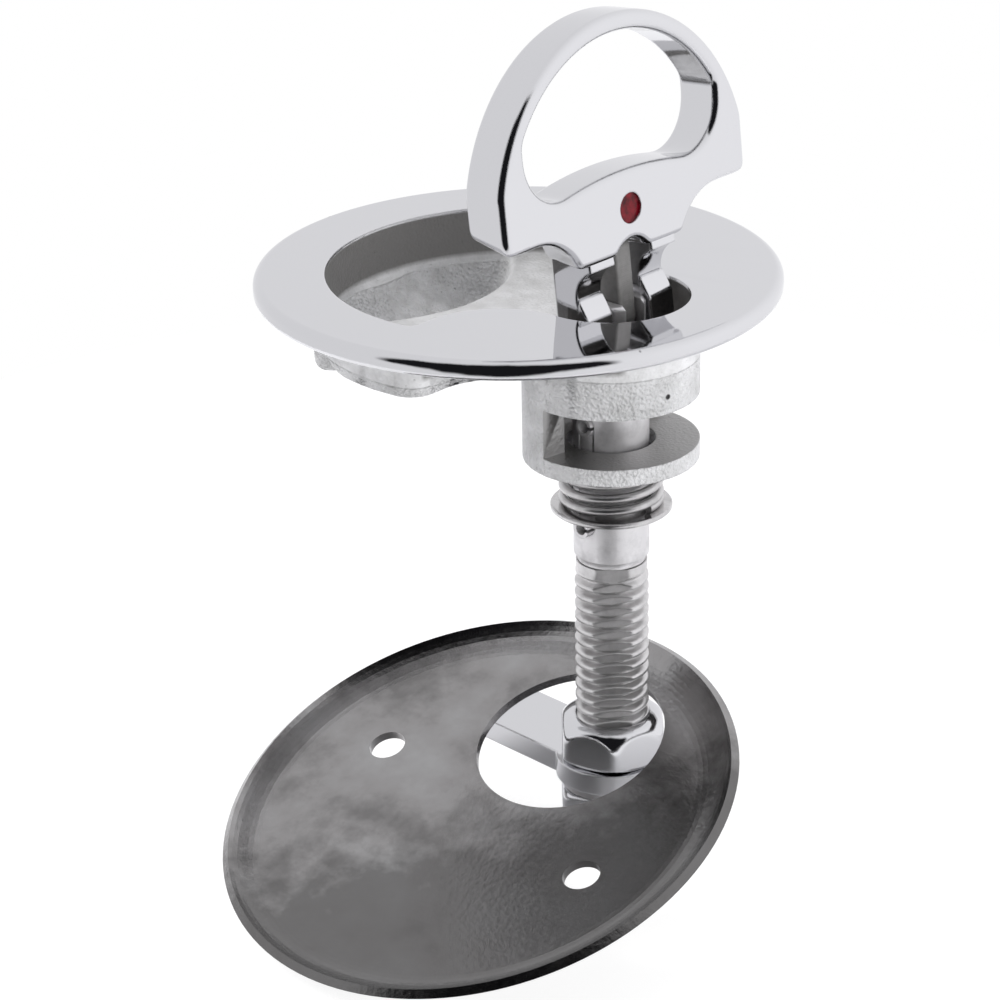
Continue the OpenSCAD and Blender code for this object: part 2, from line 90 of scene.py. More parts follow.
SHELF_Z, BOWL_Z, BOWL_FOOT_Z = -4.75, -12.5, -5.6
SHOULDER_X, CREST_CENTRE_X, CREST_R = -13.7, -51.5, 24.8
BOWL_LOW_AT, BOWL_FOOT_AT = 20.6, 7.2
SOLID_LOW_AT, SOLID_FOOT_Z = 20.0, -6.2
CASTING_R, CASTING_WALL, THINNEST_WALL, UNDERSIDE_X = 30.0, 2.2, 1.3, -24.0
CORNER_Z, CORNER_SLOPE, CORNER_FILLET = -5.6, 0.55, 1.6

NUT_AF, NUT_CORNER_R, NUT_TOP_R = 15.0, 8.4, 6.2

WIRE_R, COIL_R, SPRING_TOP, SPRING_LOW, SPRING_TURNS = 0.675, 6.925, -21.25, -28.75, 4.25
# Direction and start of the backing plate's darker half
DARKER_HALF_TOWARDS, DARKER_HALF_FROM = (0.68, -0.73, 0.0), 13.0


# ---------------------------------------------------------------- outlines
def arc(cx, cy, r, a0, a1, n=24):
    """Points of an arc from a0 to a1 degrees."""
    return [(cx + r * math.cos(math.radians(a0 + (a1 - a0) * i / n)),
             cy + r * math.sin(math.radians(a0 + (a1 - a0) * i / n))) for i in range(n + 1)]


def mirrored(half):
    """A closed outline from its right half, which runs from the middle line round to it."""
    return half + [(-x, y) for x, y in reversed(half)]


def eased(points, radius, step=0.3):
    """A closed outline with its points evenly spaced and its corners eased to about radius."""
    p = np.array(points + [points[0]], float)
    d = np.hypot(*np.diff(p, axis=0).T)
    keep = np.append(d > 1e-6, True)
    p = p[keep]
    s = np.concatenate([[0], np.cumsum(np.hypot(*np.diff(p, axis=0).T))])
    n = int(s[-1] / step)
    t = np.arange(n) * s[-1] / n
    q = np.stack([np.interp(t, s, p[:, 0]), np.interp(t, s, p[:, 1])], 1)
    reach = int(3 * radius / step) + 1
    k = np.exp(-0.5 * (np.arange(-reach, reach + 1) * step / radius) ** 2)
    k /= k.sum()
    wrapped = np.concatenate([q[-reach:], q, q[:reach]])
    return np.stack([np.convolve(wrapped[:, i], k, "valid") for i in (0, 1)], 1)


def ring_outline():
    """Outside of the ring with its neck and the notch between the feet: across, up."""
    flank_y = CORNER_UP - FLANK_R
    flank_end = 180 - math.degrees(math.asin((NECK_UP - flank_y) / FLANK_R))
    side_up = RING_UP + math.sqrt(RING_R ** 2 - RING_X ** 2)
    half = arc(0, NOTCH_UP - NOTCH_R, NOTCH_R, 90, 31)
    half += arc(FLANK_X, flank_y, FLANK_R, flank_end, 90)
    half += arc(RING_X - 1.4, CORNER_UP + 1.4, 1.4, -90, 0, 8)
    half += arc(0, RING_UP, RING_R, math.degrees(math.atan2(side_up - RING_UP, RING_X)), 90, 40)
    return eased(mirrored(half), 0.55)


def hole_outline():
    """The finger hole, with the hump in its lower edge: across, up."""
    side_a = math.degrees(math.acos(HOLE_X / HOLE_R))
    corner_x = HOLE_X - HOLE_LOW_R
    corner_up = HUMP_UP - 1.3 + HOLE_LOW_R
    hump_a = math.degrees(math.acos((corner_x - 0.4) / HUMP_R))
    half = arc(0, HOLE_UP, HOLE_R, 90, side_a, 30)
    half += arc(corner_x, corner_up, HOLE_LOW_R, 0, -93)
    half += arc(0, HUMP_UP - HUMP_R, HUMP_R, hump_a, 90)
    return eased(mirrored(half), 0.7)


def foot_outline():
    """Side of a foot: ahead, up. The sole is level when the handle is raised."""
    lift, back = 2.7, -FEET_BACK
    down = back + lift
    k = lift / (math.pi / 2 - LEAN)
    curve = []
    for i in range(15):
        a = math.pi / 2 + (LEAN - math.pi / 2) * i / 14
        d = down - k * (a - LEAN)
        curve.append((-d * math.sin(a) + k * math.cos(a), -d * math.cos(a) - k * math.sin(a)))
    heel = curve[-1]
    sole = 4.1 - heel[0]
    toe = (heel[0] + sole, heel[1] - sole * math.tan(LEAN))
    front = [(toe[0] - 0.9, toe[1] + 0.1), (toe[0], toe[1] + 1), (4.1, 1.6), (2.5, 4.6)]
    undercut = arc(FRONT + 1.2, NECK_UP - 4.9, 4.4, 190, 108, 10)
    return [(FEET_BACK, NECK_UP + 3)] + curve + front + undercut + [(FRONT - 0.6, NECK_UP + 3)]


# ---------------------------------------------------------------- mesh helpers
def new_object(name, mesh):
    obj = bpy.data.objects.new(name, mesh)
    bpy.context.scene.collection.objects.link(obj)
    return obj


def slab(name, outlines, low, high, edge):
    """A flat outline with holes, made solid between two heights with rounded edges."""
    curve = bpy.data.curves.new(name, "CURVE")
    curve.dimensions = "2D"
    curve.fill_mode = "BOTH"
    curve.extrude = (high - low) / 2 - edge
    curve.bevel_depth = edge
    curve.bevel_resolution = 4
    curve.offset = -edge
    for outline in outlines:
        spline = curve.splines.new("POLY")
        spline.points.add(len(outline) - 1)
        for point, (x, y) in zip(spline.points, outline):
            point.co = (x, y, 0, 1)
        spline.use_cyclic_u = True
    drawn = new_object(name + "_curve", curve)
    bpy.context.view_layer.update()
    mesh = bpy.data.meshes.new_from_object(
        drawn.evaluated_get(bpy.context.evaluated_depsgraph_get()))
    bpy.data.objects.remove(drawn)
    bpy.data.curves.remove(curve)
    bm = bmesh.new()
    bm.from_mesh(mesh)
    bmesh.ops.remove_doubles(bm, verts=bm.verts, dist=0.002)
    bmesh.ops.recalc_face_normals(bm, faces=bm.faces)
    bmesh.ops.translate(bm, verts=bm.verts, vec=(0, 0, (high + low) / 2))
    bm.to_mesh(mesh)
    bm.free()
    mesh.materials.clear()
    return mesh


def place(mesh, axes, origin=(0, 0, 0), lean=0.0):
    """Turns a slab's own axes to the given row of frame axes, in metres, and leans it."""
    co = np.array([v.co for v in mesh.vertices], float)
    out = np.zeros_like(co)
    for i, axis in enumerate(axes):
        out[:, axis] = co[:, i]
    x, z = out[:, 0].copy(), out[:, 2].copy()
    out[:, 0] = x * math.cos(lean) - z * math.sin(lean)
    out[:, 2] = x * math.sin(lean) + z * math.cos(lean)
    out = (out + np.array(origin)) * MM
    mesh.vertices.foreach_set("co", out.ravel())
    mesh.update()
    bm = bmesh.new()
    bm.from_mesh(mesh)
    bmesh.ops.recalc_face_normals(bm, faces=bm.faces)
    bm.to_mesh(mesh)
    bm.free()
    return mesh


def smooth(obj, angle=35):
    """Shades smooth, apart from real edges, with large flats kept flat."""
    obj.data.polygons.foreach_set("use_smooth", [True] * len(obj.data.polygons))
    obj.data.set_sharp_from_angle(angle=math.radians(angle))
    weighted = obj.modifiers.new("flats", "WEIGHTED_NORMAL")
    weighted.keep_sharp = True
    weighted.weight = 80
    return obj


def apply_modifiers(obj):
    depsgraph = bpy.context.evaluated_depsgraph_get()
    mesh = bpy.data.meshes.new_from_object(obj.evaluated_get(depsgraph))
    obj.modifiers.clear()
    obj.data = mesh
    return obj


def dress(obj, finish):
    """Gives a piece its finish, through its material slot where it has one."""
    if not obj.material_slots:
        obj.data.materials.append(None)
    for slot in obj.material_slots:
        slot.material = finish
    return obj


# ---------------------------------------------------------------- shader node groups
def group(name, inputs, outputs):
    """A shader node group with value inputs (name, default) and outputs (name, kind)."""
    tree = bpy.data.node_groups.new(name, "ShaderNodeTree")
    for label, default in inputs:
        socket = tree.interface.new_socket(label, in_out="INPUT", socket_type="NodeSocketFloat")
        socket.default_value = default
    for label, kind in outputs:
        tree.interface.new_socket(label, in_out="OUTPUT", socket_type=kind)
    return tree, tree.nodes.new("NodeGroupInput"), tree.nodes.new("NodeGroupOutput")


def add(tree, kind, **settings):
    node = tree.nodes.new(kind)
    for key, value in settings.items():
        if key in node.inputs:
            node.inputs[key].default_value = value
        else:
            setattr(node, key, value)
    return node


def ramp(tree, fac, stops):
    node = tree.nodes.new("ShaderNodeValToRGB")
    elements = node.color_ramp.elements
    while len(elements) < len(stops):
        elements.new(0.5)
    for element, (at, value) in zip(elements, stops):
        element.position = at
        element.color = value if len(value) == 4 else (*value, 1)
    tree.links.new(fac, node.inputs["Fac"])
    return node.outputs["Color"]


def math_node(tree, operation, a, b=None, clamp=False):
    node = tree.nodes.new("ShaderNodeMath")
    node.operation = operation
    node.use_clamp = clamp
    for socket, value in zip(node.inputs, (a, b)):
        if value is None:
            continue
        if isinstance(value, (int, float)):
            socket.default_value = value
        else:
            tree.links.new(value, socket)
    return node.outputs[0]


def cast_grain_group():
    """Sand-cast skin: a pebbled height, and a mask of the dark pits."""
    tree, given, out = group("cast_grain", [("Grain per m", 1500.0), ("Pits", 0.5)],
                             [("Height", "NodeSocketFloat"), ("Pit mask", "NodeSocketFloat")])
    place_ = add(tree, "ShaderNodeTexCoord")
    pebbles = add(tree, "ShaderNodeTexVoronoi", feature="SMOOTH_F1")
    pebbles.inputs["Smoothness"].default_value = 0.6
    rough = add(tree, "ShaderNodeTexNoise", Detail=4.0, Roughness=0.65)
    tree.links.new(place_.outputs["Object"], pebbles.inputs["Vector"])
    tree.links.new(place_.outputs["Object"], rough.inputs["Vector"])
    tree.links.new(given.outputs["Grain per m"], pebbles.inputs["Scale"])
    tree.links.new(math_node(tree, "MULTIPLY", given.outputs["Grain per m"], 0.8),
                   rough.inputs["Scale"])
    height = math_node(tree, "ADD", math_node(tree, "MULTIPLY", pebbles.outputs["Distance"], 0.8),
                       rough.outputs["Fac"])
    tree.links.new(height, out.inputs["Height"])
    low = math_node(tree, "SUBTRACT", given.outputs["Pits"], rough.outputs["Fac"])
    mask = math_node(tree, "MULTIPLY", low, 9.0, clamp=True)
    tree.links.new(mask, out.inputs["Pit mask"])
    return tree


def waviness_group():
    """The slow waves that polishing leaves, as one height."""
    tree, given, out = group("polish_waves", [("Waves", 1.0)], [("Height", "NodeSocketFloat")])
    place_ = add(tree, "ShaderNodeTexCoord")
    slow = add(tree, "ShaderNodeTexNoise", Scale=90.0, Detail=1.0)
    tree.links.new(place_.outputs["Object"], slow.inputs["Vector"])
    tree.links.new(math_node(tree, "MULTIPLY", slow.outputs["Fac"], given.outputs["Waves"]),
                   out.inputs["Height"])
    return tree


def soiling_group():
    """Cloudy variation between 0 and 1, for stains and uneven polish."""
    tree, given, out = group("clouding", [("Cloud scale", 120.0), ("Sharpness", 3.0)],
                             [("Mask", "NodeSocketFloat")])
    place_ = add(tree, "ShaderNodeTexCoord")
    cloud = add(tree, "ShaderNodeTexNoise", Detail=6.0, Roughness=0.6)
    tree.links.new(place_.outputs["Object"], cloud.inputs["Vector"])
    tree.links.new(given.outputs["Cloud scale"], cloud.inputs["Scale"])
    centred = math_node(tree, "SUBTRACT", cloud.outputs["Fac"], 0.5)
    spread = math_node(tree, "MULTIPLY", centred, given.outputs["Sharpness"])
    tree.links.new(math_node(tree, "ADD", spread, 0.5, clamp=True), out.inputs["Mask"])
    return tree


def machined_group():
    """Fine rings round the row's Z axis, as turning leaves them."""
    tree, given, out = group("turning_marks", [("Lines per m", 6000.0)],
                             [("Height", "NodeSocketFloat")])
    place_ = add(tree, "ShaderNodeTexCoord")
    parts = add(tree, "ShaderNodeSeparateXYZ")
    tree.links.new(place_.outputs["Object"], parts.inputs[0])
    joined = add(tree, "ShaderNodeCombineXYZ")
    tree.links.new(math_node(tree, "MULTIPLY", parts.outputs["Z"], given.outputs["Lines per m"]),
                   joined.inputs["Z"])
    lines = add(tree, "ShaderNodeTexNoise", Scale=1.0, Detail=3.0)
    tree.links.new(joined.outputs[0], lines.inputs["Vector"])
    tree.links.new(lines.outputs["Fac"], out.inputs["Height"])
    return tree


CAST = cast_grain_group()
WAVES = waviness_group()
CLOUDS = soiling_group()
TURNED = machined_group()


def use(tree, node_tree, **values):
    node = tree.nodes.new("ShaderNodeGroup")
    node.node_tree = node_tree
    for key, value in values.items():
        node.inputs[key.replace("_", " ")].default_value = value
    return node


def material(name, base, metallic, roughness):
    mat = bpy.data.materials.new(name)
    mat.use_nodes = True
    shader = mat.node_tree.nodes["Principled BSDF"]
    shader.inputs["Base Color"].default_value = (*base, 1)
    shader.inputs["Metallic"].default_value = metallic
    shader.inputs["Roughness"].default_value = roughness
    return mat, mat.node_tree, shader


def bump(tree, height, distance, normal=None):
    node = add(tree, "ShaderNodeBump", Distance=distance, Strength=1.0)
    tree.links.new(height, node.inputs["Height"])
    if normal is not None:
        tree.links.new(normal, node.inputs["Normal"])
    return node.outputs["Normal"]


def mix_colour(tree, fac, a, b):
    node = tree.nodes.new("ShaderNodeMix")
    node.data_type = "RGBA"
    for socket, value in ((node.inputs["Factor"], fac), (node.inputs[6], a), (node.inputs[7], b)):
        if isinstance(value, tuple):
            socket.default_value = (*value, 1)
        elif isinstance(value, float):
            socket.default_value = value
        else:
            tree.links.new(value, socket)
    return node.outputs[2]


def polished_steel():
    mat, tree, shader = material("polished_steel", (0.66, 0.66, 0.675), 1.0, 0.05)
    clouds = use(tree, CLOUDS, Cloud_scale=160.0, Sharpness=2.0)
    tree.links.new(ramp(tree, clouds.outputs["Mask"], [(0, (0.03,) * 3), (1, (0.09,) * 3)]),
                   shader.inputs["Roughness"])
    edge = add(tree, "ShaderNodeBevel", Radius=0.0004, samples=4)
    waves = use(tree, WAVES, Waves=1.0)
    tree.links.new(bump(tree, waves.outputs["Height"], 0.00006, edge.outputs["Normal"]),
                   shader.inputs["Normal"])
    return mat


def casting_pits(tree, position):
    """Mask of the three small pits that show on the flange's edge and on the hub; their shade is
    painted in as near black.
    """
    mask = 0.0
    for pit, radius in (((-54.9, -1.2, 2.5), 0.55), ((17.2, -13.9, 2.4), 0.35),
                        ((12.49, -2.28, -8.81), 0.5)):
        node = add(tree, "ShaderNodeVectorMath", operation="DISTANCE")
        tree.links.new(position, node.inputs[0])
        node.inputs[1].default_value = [c * MM for c in pit]
        near = math_node(tree, "MULTIPLY", math_node(tree, "SUBTRACT", radius * MM,
                                                     node.outputs["Value"]), 5000, clamp=True)
        mask = math_node(tree, "MAXIMUM", near, mask)
    return mask


def escutcheon_steel():
    """Polished above the flange's underside, rough cast below it and in the recess."""
    mat, tree, shader = material("escutcheon_steel", (0.66, 0.66, 0.675), 1.0, 0.1)
    place_ = add(tree, "ShaderNodeTexCoord")
    parts = add(tree, "ShaderNodeSeparateXYZ")
    tree.links.new(place_.outputs["Object"], parts.inputs[0])
    x, y, z = parts.outputs
    # The face and its rounded rim are above this height. The rim's own underside is outside
    # the recess's wall.
    on_face = math_node(tree, "MULTIPLY", math_node(tree, "SUBTRACT", z, 2.2 * MM), 4000, True)
    dx = math_node(tree, "SUBTRACT", x, FLANGE_CENTRE_X * MM)
    out_r = math_node(tree, "SQRT", math_node(tree, "ADD", math_node(tree, "MULTIPLY", dx, dx),
                                              math_node(tree, "MULTIPLY", y, y)))
    outside = math_node(tree, "MULTIPLY", math_node(tree, "SUBTRACT", out_r, 36.6 * MM), 2000, True)
    on_rim = math_node(tree, "MULTIPLY", outside,
                       math_node(tree, "MULTIPLY", math_node(tree, "ADD", z, 0.6 * MM), 4000, True))
    polished = math_node(tree, "MAXIMUM", on_face, on_rim)
    below = math_node(tree, "MULTIPLY", math_node(tree, "SUBTRACT", -5.6 * MM, z), 4000, True)

    cast = use(tree, CAST, Grain_per_m=2000.0, Pits=0.36)
    streaks = use(tree, CLOUDS, Cloud_scale=260.0, Sharpness=2.5)
    skin = ramp(tree, streaks.outputs["Mask"], [(0, (0.58,) * 3), (1, (0.80, 0.80, 0.81))])
    # Painted shade: the recess's wall is darker than its floor and than the casting's outside
    inside = math_node(tree, "MULTIPLY", math_node(tree, "SUBTRACT", 28.6 * MM, out_r), 2000,
                       True)
    on_wall = math_node(tree, "MULTIPLY", math_node(tree, "ADD", z, 4.9 * MM), 1200, True)
    in_recess = math_node(tree, "MULTIPLY", inside, on_wall)
    skin = mix_colour(tree, in_recess, skin, (0.20, 0.195, 0.19))
    # Painted shade: the hub's pocket and the inside of its window are darkened, for the shade that
    # falls in them
    axis_r = math_node(tree, "SQRT", math_node(tree, "ADD", math_node(tree, "MULTIPLY", x, x),
                                               math_node(tree, "MULTIPLY", y, y)))
    within_hub_radius = math_node(tree, "LESS_THAN", axis_r, 12.62 * MM)
    in_window = math_node(tree, "MULTIPLY", math_node(tree, "LESS_THAN", z, -11.2 * MM),
                          math_node(tree, "GREATER_THAN", z, -18.9 * MM))
    in_pocket = math_node(tree, "MULTIPLY", math_node(tree, "LESS_THAN", axis_r, 11.7 * MM),
                          math_node(tree, "GREATER_THAN", z, -5.2 * MM))
    in_window = math_node(tree, "MULTIPLY", within_hub_radius, in_window)
    shaded_hub_hollows = math_node(tree, "MAXIMUM", in_window, in_pocket)
    # Painted shade: the window's inside is a little darker, the pocket nearly black
    skin = mix_colour(tree, in_window, skin, (0.52, 0.515, 0.51))
    skin = mix_colour(tree, in_pocket, skin, (0.12, 0.115, 0.11))
    # Painted shade: the cast skin's small pits are darkened
    skin = mix_colour(tree, math_node(tree, "MULTIPLY", cast.outputs["Pit mask"], 0.7),
                      skin, (0.12, 0.115, 0.11))
    colour = mix_colour(tree, polished, skin, (0.66, 0.66, 0.675))
    # Painted shade: the three pits are painted near black
    tree.links.new(mix_colour(tree, casting_pits(tree, place_.outputs["Object"]), colour,
                              (0.01, 0.01, 0.01)), shader.inputs["Base Color"])
    skin_share = math_node(tree, "SUBTRACT", 1.0, polished)
    tree.links.new(math_node(tree, "ADD", 0.05, math_node(tree, "MULTIPLY", skin_share, 0.4)),
                   shader.inputs["Roughness"])
    # Blasted steel scatters nearly as chalk does
    tree.links.new(math_node(tree, "SUBTRACT", 1.0, math_node(
        tree, "MULTIPLY", math_node(tree, "MULTIPLY", skin_share, 0.75),
        math_node(tree, "SUBTRACT", 1.0, shaded_hub_hollows))), shader.inputs["Metallic"])
    edge = add(tree, "ShaderNodeBevel", Radius=0.00035, samples=4)
    depth = math_node(tree, "MULTIPLY", math_node(tree, "SUBTRACT", 1.0, polished),
                      math_node(tree, "ADD", 0.25, math_node(tree, "MULTIPLY", below, 0.75)))
    depth = math_node(tree, "MULTIPLY", depth, math_node(
        tree, "SUBTRACT", 1.0, math_node(tree, "MULTIPLY", shaded_hub_hollows, 0.85)))
    grain = bump(tree, math_node(tree, "MULTIPLY", cast.outputs["Height"], depth), 0.0004,
                 edge.outputs["Normal"])
    waves = use(tree, WAVES, Waves=1.0)
    tree.links.new(bump(tree, waves.outputs["Height"], 0.00005, grain), shader.inputs["Normal"])
    return mat


def satin_steel(name, base, roughness, marks, metallic=1.0):
    mat, tree, shader = material(name, base, metallic, roughness)
    clouds = use(tree, CLOUDS, Cloud_scale=420.0, Sharpness=2.0)
    dark = tuple(0.78 * c for c in base)
    tree.links.new(ramp(tree, clouds.outputs["Mask"], [(0.1, dark), (0.6, base)]),
                   shader.inputs["Base Color"])
    edge = add(tree, "ShaderNodeBevel", Radius=0.0002, samples=4)
    lines = use(tree, TURNED, Lines_per_m=5000.0)
    tree.links.new(bump(tree, lines.outputs["Height"], marks, edge.outputs["Normal"]),
                   shader.inputs["Normal"])
    return mat


def sheet_steel():
    """Dull pressed sheet, mottled, and darker over the half that hangs lowest."""
    mat, tree, shader = material("sheet_steel", (0.13, 0.13, 0.132), 1.0, 0.3)
    clouds = use(tree, CLOUDS, Cloud_scale=70.0, Sharpness=2.2)
    colour = ramp(tree, clouds.outputs["Mask"],
                  [(0.15, (0.19, 0.185, 0.183)), (0.45, (0.30, 0.292, 0.29)), (1, (0.38,) * 3)])
    place_ = add(tree, "ShaderNodeTexCoord")
    across = add(tree, "ShaderNodeVectorMath", operation="DOT_PRODUCT")
    across.inputs[1].default_value = DARKER_HALF_TOWARDS
    tree.links.new(place_.outputs["Object"], across.inputs[0])
    # Darker over the half that hangs lowest, with a patchy edge
    from_edge = math_node(tree, "SUBTRACT", across.outputs["Value"], DARKER_HALF_FROM * MM)
    patches = use(tree, CLOUDS, Cloud_scale=190.0, Sharpness=3.0)
    darker_half = math_node(tree, "ADD", math_node(tree, "MULTIPLY", from_edge, 90.0),
                      math_node(tree, "SUBTRACT", patches.outputs["Mask"], 0.5), clamp=True)
    darker_half = math_node(tree, "MULTIPLY", darker_half, 0.75)
    tree.links.new(mix_colour(tree, darker_half, colour, (0.115, 0.112, 0.11)),
                   shader.inputs["Base Color"])
    fine = use(tree, CLOUDS, Cloud_scale=900.0, Sharpness=2.5)
    tree.links.new(ramp(tree, fine.outputs["Mask"], [(0, (0.16,) * 3), (1, (0.26,) * 3)]),
                   shader.inputs["Roughness"])
    tree.links.new(bump(tree, fine.outputs["Mask"], 0.00002), shader.inputs["Normal"])
    return mat


def red_enamel():
    mat, tree, shader = material("red_enamel", (0.12, 0.003, 0.008), 0.0, 0.3)
    shader.inputs["Specular IOR Level"].default_value = 0.15
    shader.inputs["Coat Weight"].default_value = 0.15
    shader.inputs["Coat Roughness"].default_value = 0.05
    clouds = use(tree, CLOUDS, Cloud_scale=700.0, Sharpness=3.0)
    tree.links.new(ramp(tree, clouds.outputs["Mask"],
                        [(0, (0.04, 0.001, 0.003)), (1, (0.20, 0.004, 0.012))]),
                   shader.inputs["Base Color"])
    return mat


POLISHED = polished_steel()
ESCUTCHEON = escutcheon_steel()
SATIN = satin_steel("satin_steel", (0.72, 0.71, 0.72), 0.34, 0.00001, 0.7)
THREAD = satin_steel("cut_thread_steel", (0.66, 0.65, 0.65), 0.3, 0.00001, 0.85)
DULL = satin_steel("dull_cast_steel", (0.26, 0.255, 0.25), 0.5, 0.00006, 0.5)
SPRING_STEEL = satin_steel("spring_steel", (0.60, 0.59, 0.59), 0.32, 0.00001)
WASHER_STEEL = satin_steel("washer_steel", (0.60, 0.59, 0.59), 0.2, 0.00001)
SHEET = sheet_steel()
ENAMEL = red_enamel()


# ---------------------------------------------------------------- handle
def raise_underside(mesh):
    """Slopes the ring's underside up towards its back, outside the neck."""
    for v in mesh.vertices:
        y, up, ahead = v.co
        low = min(max((20.5 - up) / 5.5, 0), 1)
        wide = min(max((abs(y) - 8) / 4, 0), 1)
        v.co.y += UNDER_SLOPE * (FRONT - ahead) * low * low * (3 - 2 * low) * wide


def cut_dot_recess(obj):
    cutter = bmesh.new()
    bmesh.ops.create_cone(cutter, cap_ends=True, segments=48, radius1=DOT_R, radius2=DOT_R,
                          depth=2 * DOT_DEPTH)
    for v in cutter.verts:
        v.co = Vector((v.co.x, v.co.y + DOT_UP, v.co.z + FRONT))
    mesh = bpy.data.meshes.new("dot_cutter")
    cutter.to_mesh(mesh)
    cutter.free()
    tool = new_object("dot_cutter", mesh)
    cut = obj.modifiers.new("dot", "BOOLEAN")
    cut.object = tool
    cut.solver = "EXACT"
    apply_modifiers(obj)
    bpy.data.objects.remove(tool)


def build_handle():
    ring = new_object("ring_and_neck", slab("ring", [ring_outline(), hole_outline()],
                                            RING_BACK, FRONT, 1.1))
    raise_underside(ring.data)
    cut_dot_recess(ring)
    # Slab axes are across, up and ahead
    place(ring.data, (1, 2, 0), lean=LEAN)
    feet = []
    for side, y0 in (("left", -FOOT_X), ("right", NOTCH_R)):
        foot = new_object("foot_" + side, slab("foot", [foot_outline()], y0,
                                               y0 + FOOT_X - NOTCH_R, 0.35))
        place(foot.data, (0, 2, 1), lean=LEAN)
        feet.append(foot)
    tongue_side = arc(0, 0, TONGUE_R, -180, 0) + [(TONGUE_R, NOTCH_UP - 1.6)]
    tongue_side += arc(TONGUE_R - 1.6, NOTCH_UP - 1.6, 1.6, 0, 90, 8)
    tongue_side += [(0, NOTCH_UP + 1.5), (RING_BACK, NOTCH_UP + 1.5), (RING_BACK, 3)]
    tongue = new_object("tongue", slab("tongue", [tongue_side], -TONGUE_T / 2, TONGUE_T / 2, 0.4))
    place(tongue.data, (0, 2, 1), lean=LEAN)
    for obj, mat in ((ring, POLISHED), (feet[0], POLISHED), (feet[1], POLISHED), (tongue, DULL)):
        dress(smooth(obj), mat)
        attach(obj, "handle")
    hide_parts("ring_handle")


# ---------------------------------------------------------------- spindle with its thread
def thread_radius(angle, z):
    """Rounded right-hand thread, run out at its top, with a chamfered end. The two flats
    are shallower above the upper nut, and full where the arm sits."""
    phase = (z / THREAD_PITCH - angle / (2 * math.pi)) % 1.0
    flank = min(1.0, abs(2 * phase - 1) * 1.25)
    groove = 0.5 + 0.5 * math.cos(math.pi * flank)
    run_out = min(1.0, max(0.0, (STUD_TOP - 1.0 - z) / 2.0))
    r = STUD_R - THREAD_DEPTH * groove * run_out - 0.2 * (1 - run_out)
    r = min(r, STUD_R - 1.2 + (z - STUD_END))
    half = SHALLOW_FLATS if z > SHALLOW_ABOVE else STUD_HALF_FLATS
    return min(r, half / max(abs(math.cos(angle - FLAT_ANGLE)), 1e-6))


def build_spindle():
    around, step = 120, 0.12
    rows = int((STUD_TOP - STUD_END) / step)
    bm = bmesh.new()
    bm.from_mesh(nodes["spindle"].data)
    bmesh.ops.remove_doubles(bm, verts=bm.verts, dist=1e-6)
    geom = bm.verts[:] + bm.edges[:] + bm.faces[:]
    bmesh.ops.bisect_plane(bm, geom=geom, plane_co=(0, 0, (STUD_TOP + 0.1) * MM),
                           plane_no=(0, 0, -1), clear_outer=True)
    grid = []
    for j in range(rows + 1):
        z = STUD_TOP + (STUD_END - STUD_TOP) * j / rows
        row = []
        for i in range(around):
            a = 2 * math.pi * i / around
            r = thread_radius(a, z) * MM
            row.append(bm.verts.new((r * math.cos(a), r * math.sin(a), z * MM)))
        grid.append(row)
    for upper, lower in zip(grid, grid[1:]):
        for i in range(around):
            bm.faces.new((upper[i], lower[i], lower[(i + 1) % around], upper[(i + 1) % around]))
    bm.faces.new(grid[0])
    bm.faces.new(list(reversed(grid[-1])))
    mesh = bpy.data.meshes.new("spindle_and_thread")
    bm.to_mesh(mesh)
    bm.free()
    mesh.materials.clear()
    obj = dress(smooth(new_object("spindle_and_thread", mesh), 40), SATIN)
    obj.data.materials.append(THREAD)
    for face in obj.data.polygons:
        if face.center.z < STUD_TOP * MM:
            face.material_index = 1
    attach(obj, "shaft")
    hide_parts("spindle")


# ---------------------------------------------------------------- spring
def build_spring():
    """A round wire wound on a helix, with its end turns lying flat."""
    dead, sides, per_turn = 0.5, 14, 48
    rise = SPRING_TOP - SPRING_LOW - 2 * WIRE_R - 0.04
    n = int(SPRING_TURNS * per_turn)
    bm = bmesh.new()
    rings = []
    for i in range(n + 1):
        t = i / per_turn
        up = min(max((t - dead) / (SPRING_TURNS - 2 * dead), 0), 1)
        up = up * 0.8 + 0.2 * up * up * (3 - 2 * up)
        z = SPRING_LOW + WIRE_R + 0.02 + rise * up
        a = 2 * math.pi * t
        ring = []
        for k in range(sides):
            b = 2 * math.pi * k / sides
            r = COIL_R + WIRE_R * math.cos(b)
            ring.append(bm.verts.new((r * math.cos(a) * MM, r * math.sin(a) * MM,
                                      (z + WIRE_R * math.sin(b)) * MM)))
        rings.append(ring)
    for a_ring, b_ring in zip(rings, rings[1:]):
        for k in range(sides):
            m = (k + 1) % sides
            bm.faces.new((a_ring[k], b_ring[k], b_ring[m], a_ring[m]))
    bm.faces.new(rings[0])
    bm.faces.new(list(reversed(rings[-1])))
    bmesh.ops.recalc_face_normals(bm, faces=bm.faces)
    mesh = bpy.data.meshes.new("wound_spring")
    bm.to_mesh(mesh)
    bm.free()
    obj = dress(smooth(new_object("wound_spring", mesh), 50), SPRING_STEEL)
    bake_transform(obj)
    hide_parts("spring")


# ---------------------------------------------------------------- escutcheon with a cast bowl
def bowl_height(from_crest):
    """Height of the bowl's floor at a distance from the centre of the crest's curve."""
    if from_crest > CREST_R:
        return SHELF_Z
    if from_crest > BOWL_LOW_AT:
        t = (CREST_R - from_crest) / (CREST_R - BOWL_LOW_AT)
        return SHELF_Z + (BOWL_Z - SHELF_Z) * (1 - math.cos(math.pi * t)) / 2
    t = max(from_crest - BOWL_FOOT_AT, 0) / (BOWL_LOW_AT - BOWL_FOOT_AT)
    return BOWL_FOOT_Z + (BOWL_Z - BOWL_FOOT_Z) * math.sin(math.pi / 2 * t)


